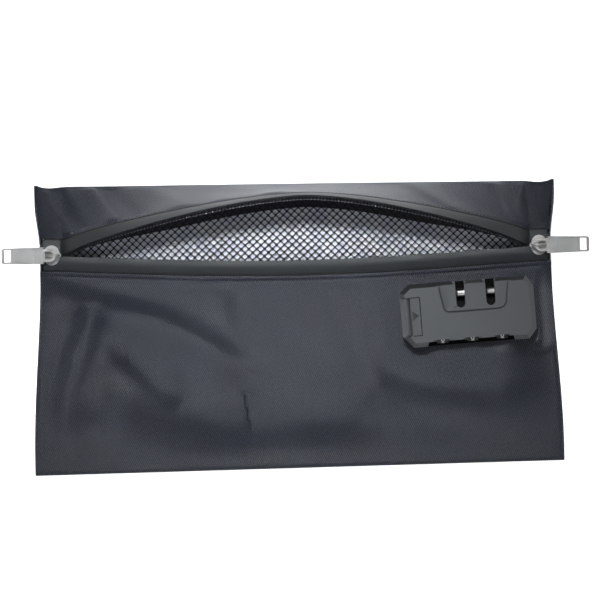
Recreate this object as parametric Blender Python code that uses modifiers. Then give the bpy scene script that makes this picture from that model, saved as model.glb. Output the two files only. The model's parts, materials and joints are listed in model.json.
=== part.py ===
"""Cash deposit bag: a flat zipped pouch on its back, with two sliders and a dial lock for their pulls.

X runs along the zipper, Y from the bottom fold to the top fold, Z up. The origin is the middle of the
back panel's outer face. The mouth is open: the strip above the zipper stands up on the top fold.
"""

import math

import bmesh
import bpy
from mathutils import Matrix, Vector

MM = 0.001
GAP = 0.3 * MM

# the bag's outline
FOLD_Y = 75.3 * MM  # top and bottom folds, at the middle of the bag
FOLD_TAPER = 0.0085  # both folds come together by this much per metre of X
WAIST = 135.3 * MM  # half width beside the zipper
BOTTOM_FLARE = 4.9 * MM
TOP_FLARE = 2.4 * MM

# layers, from the floor up
BACK_T = 0.7 * MM
LINING_T = 0.3 * MM
PANEL_T = 0.6 * MM
EDGE_Z = 2.6 * MM  # top of the front panel where it meets the side and bottom seams
PLATEAU_Z = 9.6 * MM  # top of the front panel over most of the bag
SIDE_SLOPE = 34 * MM
BOTTOM_SLOPE = 45 * MM
PAD_SLOPE = 9 * MM

# zipper
ZIP_Y = 40.3 * MM  # where the lips meet at the ends
ZIP_Z = 9.0 * MM  # mid thickness of the tape
ZIP_SAG = 5.1 * MM
ZIP_END = 133.6 * MM
TAPE_W = 7.8 * MM
TAPE_T = 0.9 * MM
LOW_LIP = 0.4 * MM  # each tape's lip stops this far short of the line where they meet
TOP_LIP = 0.6 * MM
COIL_R = 0.9 * MM
COIL_INSET = 1.3 * MM
SEAM_Z = 9.3 * MM  # the side seam rises to this beside the zipper

# the flap: strip, upper tape and upper coil, open at the middle and shut at the sliders
HINGE_Z = 1.3 * MM
FLAP_OPEN = math.radians(69.6)
FLAP_PEAK_X = 6 * MM
FLAP_END_X = 124.0 * MM
FLAP_EASE = 4 * MM
ZIP_COLUMNS = 44
STRIP_START = 1.2 * MM

# sliders and pulls
SLIDER_X = 129.0 * MM
SLIDER_HALF = 4.6 * MM
SLIDER_W = 10.6 * MM
PLATE_T = 1.0 * MM
PLATE_TOP_Z = 10.75 * MM
PLATE_BOTTOM_Z = 4.95 * MM
BAIL_R = 0.65 * MM
BAIL_H = 6.0 * MM
PIVOT_OUT = 1.2 * MM
PIVOT_UP = 3.7 * MM
PULL_REACH = 22.4 * MM  # pivot to the middle of the latch window
PULL_DROOP = math.radians(10)
RIM_Y = 3.25 * MM  # beyond this the top plate is lower, clear of a pull laid over it
RIM_DROP = 0.36 * MM
PULL_ROOT = 3.0 * MM
PULL_END = 3.15 * MM  # metal past the middle of the window
ROOT_W, TIP_W = 8.9 * MM, 8.1 * MM
ROOT_T, TIP_T = 3.2 * MM, 1.8 * MM
LOOP_R = 3.3 * MM
LOOP_T = 1.5 * MM
RIDGE_X = (8.9 * MM, 10.1 * MM)
WINDOW_HALF = (1.85 * MM, 3.2 * MM)

# lock, in its own frame: u along it, v up the bag, z off the front panel
LOCK_X = 90.6 * MM
LOCK_Y = 5.6 * MM
LOCK_TURN = math.radians(3.45)
LOCK_U = 35.4 * MM
LOCK_V = 16.75 * MM
LOCK_H = 12.2 * MM
CASE_FOOT = 1.5 * MM
WALL = 1.2 * MM
BASE_T = 1.2 * MM
RECESS = (-22 * MM, 23 * MM, -14.4 * MM)  # low u, high u, and v of the dials' recess
SLOT_U = (-3.45 * MM, 12.45 * MM)
SLOT_W = 4.7 * MM
SLOT_FLOOR_V = 2.46 * MM
PEG_V = 10.0 * MM
PEG_Z = 7.2 * MM
DIAL_U = (-14.55 * MM, 1.2 * MM, 16.95 * MM)
DIAL_V = -10.8 * MM
DIAL_Z = 6.0 * MM
DIAL_R = 4.6 * MM
DIAL_W = 5.8 * MM
SCREW_U = 31.5 * MM
SCREW_V = 12.9 * MM
SCREW_R = 0.9 * MM
BOSS_R = 2.2 * MM
BORE_R = 1.25 * MM
CLEAR_R = 1.3 * MM
ROOF_Z = LOCK_H - WALL
STEP_RISE = 0.6 * MM
STEP_OUTLINE = [(-16, 16.0), (-13.6, 2.4), (-11.4, 0.2), (18.2, 0.2), (20.8, 2.6), (23.6, 16.0)]  # in mm
WELL_WALL = 0.8 * MM
WELL_LOW = 2.6 * MM
PEG_HALF = (1.5 * MM, 1.7 * MM)  # in v and z
PEG_ROOM = 0.5 * MM
PEG_POST = 1.2 * MM
RIB_U = (-24.4 * MM, 25.4 * MM)
RIB_Z = (3.5 * MM, 8.6 * MM)
SHAFT_U = (-25.6 * MM, 26.6 * MM)
SHAFT_R = 1.3 * MM
SLEEVE_R = (1.6 * MM, 3.1 * MM)
WHEEL_BORE = 3.4 * MM
POCKET = ((-33.9 * MM, -10.8 * MM, 8.7 * MM), (-24.9 * MM, 9.8 * MM, LOCK_H + MM))
BUTTON = ((-33.6 * MM, -10.4 * MM, 9.0 * MM), (-22.6 * MM, 9.4 * MM, 10.6 * MM))
GRIP_U, GRIP_R, GRIP_Z = -31.2 * MM, 2.3 * MM, 10.2 * MM
STEM = ((-31 * MM, -2 * MM, 2.6 * MM), (-27 * MM, 2 * MM, 9.3 * MM))
HOOK_OUTLINE = [(-31.5, -2), (-18, -2), (18.6, -2), (18.6, 12.6), (-8, 12.6), (-14, 2), (-31.5, 2)]  # in mm
HOOK_Z = (1.5 * MM, 2.3 * MM)
DETENT = ((-18.9 * MM, -5.8 * MM, 3.2 * MM), (22 * MM, -5.5 * MM, 9.4 * MM))
SPRING_TAB = ((17.6 * MM, 3.6 * MM, 2.0 * MM), (18.6 * MM, 8.4 * MM, 6.4 * MM))
SPRING_START, SPRING_LENGTH = 19.3 * MM, 14.4 * MM
SPRING_V, SPRING_Z, SPRING_R = 6.0 * MM, 4.5 * MM, 1.6 * MM
SPRING_WIRE = 0.25 * MM
SPRING_TURNS, SPRING_STEPS = 6, 8

COLOURS = {  # base colour, roughness, metallic
    "nylon": ((0.035, 0.038, 0.046), 0.6, 0.0),
    "lining": ((0.52, 0.54, 0.62), 0.8, 0.0),
    "net": ((0.02, 0.02, 0.024), 0.7, 0.0),
    "tape": ((0.042, 0.046, 0.052), 0.45, 0.0),
    "coil": ((0.02, 0.02, 0.022), 0.4, 0.0),
    "nickel": ((0.62, 0.6, 0.57), 0.25, 1.0),
    "case_plastic": ((0.075, 0.08, 0.088), 0.5, 0.0),
    "dial_plastic": ((0.03, 0.03, 0.032), 0.45, 0.0),
    "steel": ((0.55, 0.55, 0.56), 0.35, 1.0),
}


def clear_scene():
    for obj in list(bpy.data.objects):
        bpy.data.objects.remove(obj)


def collection(name):
    made = bpy.data.collections.new(name)
    bpy.context.scene.collection.children.link(made)
    return made


def material(name):
    made = bpy.data.materials.get(name)
    if made is None:
        colour, roughness, metallic = COLOURS[name]
        made = bpy.data.materials.new(name)
        made.use_nodes = True
        shader = made.node_tree.nodes["Principled BSDF"]
        shader.inputs["Base Color"].default_value = (*colour, 1)
        shader.inputs["Roughness"].default_value = roughness
        shader.inputs["Metallic"].default_value = metallic
    return made


clear_scene()
PARTS = collection("cash_deposit_bag")
CUTTERS = collection("cutters")


# ---------- shape helpers ----------


def smooth(t):
    t = min(max(t, 0), 1)
    return t * t * (3 - 2 * t)


def place(name, data, finish, parent=None, matrix=None):
    obj = bpy.data.objects.new(name, data)
    PARTS.objects.link(obj)
    obj.parent = parent
    if matrix is not None:
        obj.matrix_local = matrix
    if finish:
        data.materials.append(material(finish))
    return obj


def finish_mesh(bm, name):
    mesh = bpy.data.meshes.new(name)
    bm.to_mesh(mesh)
    bm.free()
    mesh.shade_smooth()
    mesh.set_sharp_from_angle(angle=math.radians(30))
    return mesh


def box_mesh(name, low, high, bevel=0):
    low, high = Vector(low), Vector(high)
    bm = bmesh.new()
    size = Matrix.Diagonal((*(high - low), 1))
    bmesh.ops.create_cube(bm, size=1, matrix=Matrix.Translation((low + high) / 2) @ size)
    if bevel:
        bmesh.ops.bevel(bm, geom=bm.edges[:], offset=bevel, segments=2, affect="EDGES", profile=0.5)
    return finish_mesh(bm, name)


def cone_mesh(name, start, end, radius_start, radius_end, segments=20):
    start, end = Vector(start), Vector(end)
    turn = (end - start).to_track_quat("Z", "Y").to_matrix().to_4x4()
    bm = bmesh.new()
    bmesh.ops.create_cone(
        bm, cap_ends=True, segments=segments, radius1=radius_start, radius2=radius_end,
        depth=(end - start).length, matrix=Matrix.Translation((start + end) / 2) @ turn,
    )
    return finish_mesh(bm, name)


def ring_mesh(name, inner, outer, half_length, segments=30):
    """A ring about the X axis, spun from its section."""
    bm = bmesh.new()
    section = [(-half_length, inner), (half_length, inner), (half_length, outer), (-half_length, outer)]
    verts = [bm.verts.new((x, 0, r)) for x, r in section]
    edges = [bm.edges.new((verts[i - 1], verts[i])) for i in range(4)]
    bmesh.ops.spin(
        bm, geom=verts + edges, cent=(0, 0, 0), axis=(1, 0, 0), angle=math.tau, steps=segments, use_merge=True
    )
    bmesh.ops.remove_doubles(bm, verts=bm.verts[:], dist=1e-6)
    bmesh.ops.recalc_face_normals(bm, faces=bm.faces[:])
    return finish_mesh(bm, name)


def plate_mesh(name, outline, low, high, bevel=0):
    """A flat outline in X and Y, extruded from z low to z high, with its top edge bevelled."""
    bm = bmesh.new()
    face = bm.faces.new([bm.verts.new((x, y, low)) for x, y in outline])
    if face.normal.z > 0:
        face.normal_flip()
    raised = bmesh.ops.extrude_face_region(bm, geom=[face])["geom"]
    top = [v for v in raised if isinstance(v, bmesh.types.BMVert)]
    bmesh.ops.translate(bm, verts=top, vec=(0, 0, high - low))
    bmesh.ops.recalc_face_normals(bm, faces=bm.faces[:])
    if bevel:
        rim = [e for e in bm.edges if all(v.co.z > high - 1e-6 for v in e.verts)]
        bmesh.ops.bevel(bm, geom=rim, offset=bevel, segments=2, affect="EDGES", profile=0.5)
    return finish_mesh(bm, name)


def arc(cx, cy, radius, start_deg, end_deg, steps):
    """Points of an arc, in X and Y."""
    turns = [math.radians(start_deg + (end_deg - start_deg) * i / steps) for i in range(steps + 1)]
    return [(cx + radius * math.cos(a), cy + radius * math.sin(a)) for a in turns]


def tube_curve(name, points, radius, resolution=2):
    curve = bpy.data.curves.new(name, "CURVE")
    curve.dimensions = "3D"
    curve.bevel_depth = radius
    curve.bevel_resolution = resolution
    curve.use_fill_caps = True
    spline = curve.splines.new("POLY")
    spline.points.add(len(points) - 1)
    for point, co in zip(spline.points, points):
        point.co = (*co, 1)
    return curve


def tube_mesh(name, points, radius):
    """A tube as a closed mesh, for pieces that are cut or joined."""
    guide = bpy.data.objects.new(name + "_guide", tube_curve(name, points, radius))
    CUTTERS.objects.link(guide)
    bpy.context.view_layer.update()
    mesh = bpy.data.meshes.new_from_object(guide.evaluated_get(bpy.context.evaluated_depsgraph_get()))
    bpy.data.objects.remove(guide)
    bm = bmesh.new()
    bm.from_mesh(mesh)
    bmesh.ops.remove_doubles(bm, verts=bm.verts[:], dist=1e-6)
    bmesh.ops.recalc_face_normals(bm, faces=bm.faces[:])
    return finish_mesh(bm, name)


def sheet(name, columns, rows, point, thickness, finish, offset=-1.0):
    """A grid shaped by point(u, v), with u along its columns and v along its rows, both 0 to 1."""
    bm = bmesh.new()
    bmesh.ops.create_grid(bm, x_segments=columns, y_segments=rows, size=0.5)
    for vert in bm.verts:
        vert.co = point(vert.co.x + 0.5, vert.co.y + 0.5)
    obj = place(name, finish_mesh(bm, name), finish)
    shell = obj.modifiers.new("thickness", "SOLIDIFY")
    shell.thickness = thickness
    shell.offset = offset
    return obj


def boolean(target, mesh, operation="DIFFERENCE"):
    """Cut target by mesh, or join mesh to it. The mesh is in target's own frame."""
    tool = bpy.data.objects.new(mesh.name, mesh)
    CUTTERS.objects.link(tool)
    tool.parent = target
    tool.hide_render = True
    tool.display_type = "WIRE"
    modifier = target.modifiers.new(mesh.name, "BOOLEAN")
    modifier.object = tool
    modifier.operation = operation
    modifier.solver = "EXACT"


# ---------- the bag's surfaces ----------


def half_width(y):
    if y < 36 * MM:
        return WAIST + BOTTOM_FLARE * smooth((36 * MM - y) / (104 * MM))
    return WAIST + TOP_FLARE * smooth((y - 42 * MM) / (26 * MM))


def top_y(x):
    return FOLD_Y - FOLD_TAPER * x


def bottom_y(x):
    return -FOLD_Y + FOLD_TAPER * x


def sag(x):
    return ZIP_SAG * max(0.0, math.cos(0.5 * math.pi * x / ZIP_END)) ** 1.15


def lip_y(x):
    return ZIP_Y - sag(x)


def edge_z(y):
    """Height of the bag's side seam."""
    return EDGE_Z + (SEAM_Z - EDGE_Z) * smooth((24 * MM - abs(y - 40 * MM)) / (18 * MM))


def lock_local(x, y):
    dx, dy = x - LOCK_X, y - LOCK_Y
    c, s = math.cos(LOCK_TURN), math.sin(LOCK_TURN)
    return dx * c + dy * s, dy * c - dx * s


def panel_z(x, y):
    """Top of the front panel: low at the seams, flat over the middle and under the lock."""
    edge = edge_z(y)
    across = smooth((half_width(y) - abs(x)) / SIDE_SLOPE)
    along = smooth((y - bottom_y(x)) / BOTTOM_SLOPE)
    z = edge + (PLATEAU_Z - edge) * across * max(along, smooth((y - 10 * MM) / (15 * MM)))
    u, v = lock_local(x, y)
    outside = math.hypot(max(0, abs(u) - LOCK_U - MM), max(0, abs(v) - LOCK_V - MM))
    return z + (PLATEAU_Z - z) * smooth(1 - outside / PAD_SLOPE)


def seam_y(x):
    """Upper edge of the front panel, where the lower tape is sewn on."""
    return lip_y(x) - TAPE_W - GAP


def make_front_panel():
    def point(u, v):
        s = 2 * u - 1
        y0 = bottom_y(s * half_width(-FOLD_Y))
        y1 = seam_y(s * half_width(32 * MM))
        y = y0 + (y1 - y0) * v
        x = s * half_width(y)
        return x, y, panel_z(x, y)

    panel = sheet("front_panel", 36, 18, point, PANEL_T, "nylon")
    for number, (u, v) in enumerate(screw_places()):
        x, y = lock_world(u, v)
        boolean(panel, cone_mesh(f"panel_hole_{number}", (x, y, 0), (x, y, 20 * MM), 1.3 * MM, 1.3 * MM, 12))


def make_back_panel():
    def point(u, v):
        s = 2 * u - 1
        y0, y1 = (f(s * WAIST) for f in (bottom_y, top_y))
        y = y0 + (y1 - y0) * v
        return s * half_width(y), y, BACK_T

    sheet("back_panel", 6, 16, point, BACK_T, "nylon")


def make_side_binding(name, side):
    """The bound seam between front and back, standing inside the edge."""

    def top(y):
        if y < 40 * MM:
            return edge_z(y) - PANEL_T - GAP
        return HINGE_Z + (top_y(0) - y) * 0.215 - 3 * GAP

    def point(u, v):
        y = (-70 + 138 * v) * MM
        low = BACK_T + GAP
        x = half_width(y) - 0.85 * MM
        u = 1 - u if side > 0 else u
        return side * x, y, low + (max(top(y), low + 0.4 * MM) - low) * u

    sheet(name, 1, 24, point, 0.8 * MM, "nylon", offset=0)


def make_flat_sheet(name, finish, z, side_inset, y_low, y_high):
    """An inner layer that lies flat on the back panel."""

    def point(u, v):
        y = y_low + (y_high - y_low) * v
        return (2 * u - 1) * (half_width(y) - side_inset), y, z

    sheet(name, 2, 12, point, LINING_T, finish)


def make_front_lining():
    def point(u, v):
        s = 2 * u - 1
        y0, y1 = -55 * MM, seam_y(s * WAIST) - 2 * MM
        y = y0 + (y1 - y0) * v
        x = s * (half_width(y) - 14 * MM)
        z = panel_z(x, y)
        drop = 1.2 * MM * min(max((z - 3.5 * MM) / (6.1 * MM), 0), 1)
        return x, y, z - PANEL_T - GAP - drop

    sheet("front_lining", 24, 12, point, LINING_T, "lining")


# ---------- zipper and flap ----------


def zip_x(column):
    """X of a column along the zipper: two in each slider, the rest closer together near the sliders."""
    inner = ZIP_COLUMNS - 4
    if column < 2:
        return -ZIP_END + (ZIP_END - FLAP_END_X) * column / 2
    if column > inner + 2:
        return FLAP_END_X + (ZIP_END - FLAP_END_X) * (column - inner - 2) / 2
    return -FLAP_END_X * math.cos(math.pi * (column - 2) / inner)


def flap_reach(x):
    """Distance from the top fold to the lip."""
    return math.hypot(top_y(x) - lip_y(x), ZIP_Z - HINGE_Z)


def opening(x):
    """How far the flap has opened at x: 0 at the sliders, 1 at its peak."""
    span = FLAP_END_X - FLAP_PEAK_X if x > FLAP_PEAK_X else FLAP_END_X + FLAP_PEAK_X
    run = abs(x - FLAP_PEAK_X) / span
    if run >= 1:
        return 0.0
    eased = 1 - math.exp((run - 1) * span / FLAP_EASE)
    return (1 - run**1.6) ** 0.6 * eased


def flap_surface(x, reach):
    """A point of the flap's mid surface, at a distance from the top fold."""
    shut = math.atan2(ZIP_Z - HINGE_Z, top_y(x) - lip_y(x))
    angle = shut + FLAP_OPEN * opening(x)
    return Vector((x, top_y(x) - reach * math.cos(angle), HINGE_Z + reach * math.sin(angle)))


def flap_point(x, reach, inward=0.0):
    """The same, moved inward from the surface."""
    step = 0.2 * MM
    across = flap_surface(x + step, reach) - flap_surface(x - step, reach)
    along = flap_surface(x, reach) - flap_surface(x, reach - step)
    return flap_surface(x, reach) + across.cross(along).normalized() * inward


def make_zipper():
    def lower(u, v):
        x = zip_x(round(u * ZIP_COLUMNS))
        return x, lip_y(x) - LOW_LIP - (TAPE_W - LOW_LIP) * (1 - v), ZIP_Z

    def upper(u, v):
        x = zip_x(round(u * ZIP_COLUMNS))
        return flap_point(x, flap_reach(x) - TOP_LIP - TAPE_W * v)

    def strip(u, v):
        x = zip_x(round(u * ZIP_COLUMNS))
        end = flap_reach(x) - TOP_LIP - TAPE_W - GAP
        return flap_point(x, end + (STRIP_START - end) * v)

    sheet("zip_tape_lower", ZIP_COLUMNS, 1, lower, TAPE_T, "tape", offset=0)
    sheet("zip_tape_upper", ZIP_COLUMNS, 1, upper, TAPE_T, "tape", offset=0)
    sheet("top_strip", ZIP_COLUMNS, 4, strip, PANEL_T, "nylon", offset=0)
    drop = TAPE_T / 2 + GAP + COIL_R
    across = [zip_x(column) for column in range(ZIP_COLUMNS + 1)]
    low = [(x, lip_y(x) - LOW_LIP - COIL_INSET, ZIP_Z - drop) for x in across]
    high = [flap_point(x, flap_reach(x) - TOP_LIP - COIL_INSET, drop) for x in across]
    place("zip_coil_lower", tube_curve("zip_coil_lower", low, COIL_R, 1), "coil")
    place("zip_coil_upper", tube_curve("zip_coil_upper", high, COIL_R, 1), "coil")


# ---------- sliders and pulls, in a frame whose +X points out of the bag ----------


def slider_matrix(side):
    x = side * SLIDER_X
    turn = Matrix.Rotation(math.pi, 4, "Z") if side < 0 else Matrix.Identity(4)
    return Matrix.Translation((x, lip_y(x), 0)) @ turn


def slider_outline(shrink):
    """Rounded outside, narrower at the nose that faces the mouth."""
    half = SLIDER_W / 2 - shrink
    nose = -SLIDER_HALF + shrink
    return [(nose, -half * 0.62), (nose + 2.2 * MM, -half)] + [
        (SLIDER_HALF - shrink - 2.6 * MM + 2.6 * MM * x, half * y)
        for x, y in arc(0, 0, 1, -90, 90, 8)
    ] + [(nose + 2.2 * MM, half), (nose, half * 0.62)]


def make_slider(name, side):
    top = plate_mesh(name, slider_outline(0), PLATE_TOP_Z - PLATE_T, PLATE_TOP_Z, bevel=0.3 * MM)
    slider = place(name, top, "nickel", matrix=slider_matrix(side))
    low = slider_outline(0.3 * MM)
    boolean(slider, plate_mesh(name + "_lower", low, PLATE_BOTTOM_Z, PLATE_BOTTOM_Z + PLATE_T), "UNION")
    for number, turn in enumerate((0, math.pi), 1):
        low = (-SLIDER_W, RIM_Y, PLATE_TOP_Z - RIM_DROP)
        rim = box_mesh(f"{name}_rim_{number}", low, (SLIDER_W, SLIDER_W, PLATE_TOP_Z + MM))
        rim.transform(Matrix.Rotation(turn, 4, "Z"))
        boolean(slider, rim)
    post_low = (-SLIDER_HALF + 0.2 * MM, -0.25 * MM, PLATE_BOTTOM_Z + 0.3 * MM)
    post_high = (-SLIDER_HALF + 2.0 * MM, 0.25 * MM, PLATE_TOP_Z - 0.3 * MM)
    boolean(slider, box_mesh(name + "_post", post_low, post_high), "UNION")
    z = PLATE_TOP_Z
    slant = PIVOT_OUT + PIVOT_UP  # the bail's outer leg runs at 45 degrees through the pivot
    inner = -3.4 * MM
    foot = slant - 1.1 * MM
    bail = [
        (inner, 0, z - 0.4 * MM), (inner, 0, z + 4.6 * MM), (inner + 0.5 * MM, 0, z + 5.6 * MM),
        (inner + 1.3 * MM, 0, z + BAIL_H), (inner + 1.9 * MM, 0, z + BAIL_H),
        (-0.6 * MM, 0, z + slant + 0.6 * MM), (slant - 1.3 * MM, 0, z + 1.3 * MM),
        (foot, 0, z + 0.6 * MM), (foot, 0, z - 0.4 * MM),
    ]
    boolean(slider, tube_mesh(name + "_bail", bail, BAIL_R), "UNION")


def pull_matrix(side):
    pivot = Matrix.Translation((PIVOT_OUT, 0, PLATE_TOP_Z + PIVOT_UP))
    return slider_matrix(side) @ pivot @ Matrix.Rotation(PULL_DROOP, 4, "Y")


def make_pull(name, side):
    """Pivot at its origin, tip along +X: an open loop, a ridge, and a tapered tab with the latch window."""
    tip = PULL_REACH + PULL_END
    root = PULL_ROOT
    loop = [(root + 2 * MM, -4.2 * MM), (root + 2 * MM, 4.2 * MM), (root - 0.4 * MM, LOOP_R)]
    loop += [(x - 0.3 * MM, y) for x, y in arc(0, 0, LOOP_R, 90, 270, 10)]
    loop += [(root - 0.4 * MM, -LOOP_R)]
    bm = bmesh.new()
    bmesh.ops.create_cube(bm, size=1)
    for vert in bm.verts:
        far = vert.co.x > 0
        vert.co.x = tip if far else root
        vert.co.y *= TIP_W if far else ROOT_W
        vert.co.z *= TIP_T if far else ROOT_T
    bmesh.ops.bevel(bm, geom=bm.edges[:], offset=0.35 * MM, segments=2, affect="EDGES", profile=0.5)
    pull = place(name, finish_mesh(bm, name), "nickel", matrix=pull_matrix(side))
    boolean(pull, plate_mesh(name + "_loop", loop, -LOOP_T / 2, LOOP_T / 2, 0.2 * MM), "UNION")
    low, high = (RIDGE_X[0], -4.3 * MM, -1.7 * MM), (RIDGE_X[1], 4.3 * MM, 1.7 * MM)
    boolean(pull, box_mesh(name + "_ridge", low, high, 0.3 * MM), "UNION")
    boolean(pull, box_mesh(name + "_hole", (-2.3 * MM, -2.1 * MM, -3 * MM), (2.4 * MM, 2.1 * MM, 3 * MM)))
    low = (PULL_REACH - WINDOW_HALF[0], -WINDOW_HALF[1], -3 * MM)
    high = (PULL_REACH + WINDOW_HALF[0], WINDOW_HALF[1], 3 * MM)
    boolean(pull, box_mesh(name + "_window", low, high))


# ---------- lock ----------


def lock_world(u, v):
    c, s = math.cos(LOCK_TURN), math.sin(LOCK_TURN)
    return LOCK_X + u * c - v * s, LOCK_Y + u * s + v * c


def screw_places():
    return [(u, v) for u in (-SCREW_U, SCREW_U) for v in (-SCREW_V, SCREW_V)]


def lock_frame():
    frame = bpy.data.objects.new("lock_frame", None)
    PARTS.objects.link(frame)
    frame.location = (LOCK_X, LOCK_Y, PLATEAU_Z + GAP)
    frame.rotation_euler.z = LOCK_TURN
    return frame


def case_outline(inset, recess_inset, corner):
    """The case seen from above: chamfered corners, and the dials' recess in its lower edge."""
    u, v = LOCK_U - inset, LOCK_V - inset
    low, high, recess_v = RECESS[0] - recess_inset, RECESS[1] + recess_inset, RECESS[2] + recess_inset
    return [
        (-u, -v + corner), (-u + corner, -v), (low - 0.8 * MM, -v), (low, recess_v), (high, recess_v),
        (high + 0.8 * MM, -v), (u - corner, -v), (u, -v + corner), (u, v - corner), (u - corner, v),
        (-u + corner, v), (-u, v - corner),
    ]


def slot_outline(u):
    """An open-topped slot with a round floor."""
    half = SLOT_W / 2
    floor = arc(u, SLOT_FLOOR_V + half, half, 180, 360, 8)
    return [(u - half, LOCK_V + 2 * MM), *floor, (u + half, LOCK_V + 2 * MM)]


def make_case(frame):
    body = plate_mesh("lock_case", case_outline(0, 0, 2.4 * MM), CASE_FOOT, LOCK_H, bevel=1.3 * MM)
    case = place("lock_case", body, "case_plastic", frame)
    boolean(case, plate_mesh("cavity", case_outline(WALL, WALL, 1.4 * MM), 0, ROOF_Z))
    step = [(x * MM, y * MM) for x, y in STEP_OUTLINE]
    raised = plate_mesh("raised_panel", step, ROOF_Z + 0.2 * MM, LOCK_H + STEP_RISE, 0.4 * MM)
    boolean(case, raised, "UNION")
    half = SLOT_W / 2
    for number, u in enumerate(SLOT_U, 1):
        well_low = (u - half - WELL_WALL, SLOT_FLOOR_V - WELL_WALL - 0.1 * MM, WELL_LOW)
        well_high = (u + half + WELL_WALL, LOCK_V - 0.4 * MM, ROOF_Z + 0.3 * MM)
        boolean(case, box_mesh(f"well_{number}", well_low, well_high), "UNION")
    for number, u in enumerate(RIB_U, 1):
        low, high = (u - 0.6 * MM, -LOCK_V + 0.4 * MM, RIB_Z[0]), (u + 0.6 * MM, -7.6 * MM, RIB_Z[1])
        boolean(case, box_mesh(f"shaft_rib_{number}", low, high), "UNION")
    for number, (u, v) in enumerate(screw_places(), 1):
        foot, top = (u, v, CASE_FOOT + 0.1 * MM), (u, v, ROOF_Z + 0.3 * MM)
        boolean(case, cone_mesh(f"boss_{number}", foot, top, BOSS_R, BOSS_R, 16), "UNION")
        boolean(case, cone_mesh(f"bore_{number}", (u, v, 0), (u, v, 9 * MM), BORE_R, BORE_R, 12))
    for number, u in enumerate(SLOT_U, 1):
        boolean(case, plate_mesh(f"slot_{number}", slot_outline(u), 0, LOCK_H + 2 * MM))
        low = (u + half - 0.4 * MM, PEG_V - PEG_HALF[0] - PEG_ROOM, 0)
        high = (u + half + PEG_POST, PEG_V + PEG_HALF[0] + PEG_ROOM, PEG_Z + PEG_HALF[1] + 0.4 * MM)
        boolean(case, box_mesh(f"peg_way_{number}", low, high))
    for number, u in enumerate(DIAL_U, 1):
        half = DIAL_W / 2 + 0.35 * MM
        low = (u - half, -LOCK_V - MM, 0.7 * MM)
        boolean(case, box_mesh(f"dial_window_{number}", low, (u + half, -12.2 * MM, LOCK_H + MM)))
    boolean(case, box_mesh("button_pocket", *POCKET))
    ends = [(SHAFT_U[0] - 0.4 * MM, DIAL_V, DIAL_Z), (SHAFT_U[1] + 0.4 * MM, DIAL_V, DIAL_Z)]
    boolean(case, cone_mesh("shaft_way", *ends, SHAFT_R + GAP, SHAFT_R + GAP, 16))


def make_plates(frame):
    base = plate_mesh("lock_base_plate", case_outline(0.2 * MM, 0, 2.4 * MM), 0, BASE_T)
    base = place("lock_base_plate", base, "case_plastic", frame)
    low, high = -PANEL_T - 2 * GAP - 0.9 * MM, -PANEL_T - 2 * GAP
    u, v = LOCK_U - 1.2 * MM, LOCK_V - 1.2 * MM
    corners = [(-u, -v), (u, -v), (u, v), (-u, v)]
    backing = place("backing_plate", plate_mesh("backing_plate", corners, low, high), "steel", frame)
    for number, (su, sv) in enumerate(screw_places(), 1):
        hole = cone_mesh(f"base_hole_{number}", (su, sv, -MM), (su, sv, 2 * MM), CLEAR_R, CLEAR_R, 12)
        boolean(base, hole)
        bottom, top = (su, sv, low - 0.1 * MM), (su, sv, high + 0.1 * MM)
        boolean(backing, cone_mesh(f"sink_{number}", bottom, top, 2 * BORE_R, BORE_R, 16))
        head = cone_mesh(f"case_screw_{number}", (su, sv, low), (su, sv, high), 2.05 * MM, 0.85 * MM, 16)
        screw = place(f"case_screw_{number}", head, "steel", frame)
        foot, tip = (su, sv, high - 0.3 * MM), (su, sv, 8.4 * MM)
        boolean(screw, cone_mesh(f"shank_{number}", foot, tip, SCREW_R, SCREW_R, 16), "UNION")


def make_dials(frame):
    for number, u in enumerate(DIAL_U, 1):
        centre = Matrix.Translation((u, DIAL_V, DIAL_Z))
        wheel = ring_mesh(f"dial_wheel_{number}", WHEEL_BORE, DIAL_R, DIAL_W / 2)
        place(f"dial_wheel_{number}", wheel, "dial_plastic", frame, centre)
        sleeve = ring_mesh(f"dial_sleeve_{number}", *SLEEVE_R, DIAL_W / 2 - 0.3 * MM, 16)
        place(f"dial_sleeve_{number}", sleeve, "steel", frame, centre)
    start, end = ((u, DIAL_V, DIAL_Z) for u in SHAFT_U)
    place("dial_shaft", cone_mesh("dial_shaft", start, end, SHAFT_R, SHAFT_R, 16), "steel", frame)
    place("detent_spring", box_mesh("detent_spring", *DETENT), "steel", frame)


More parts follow.
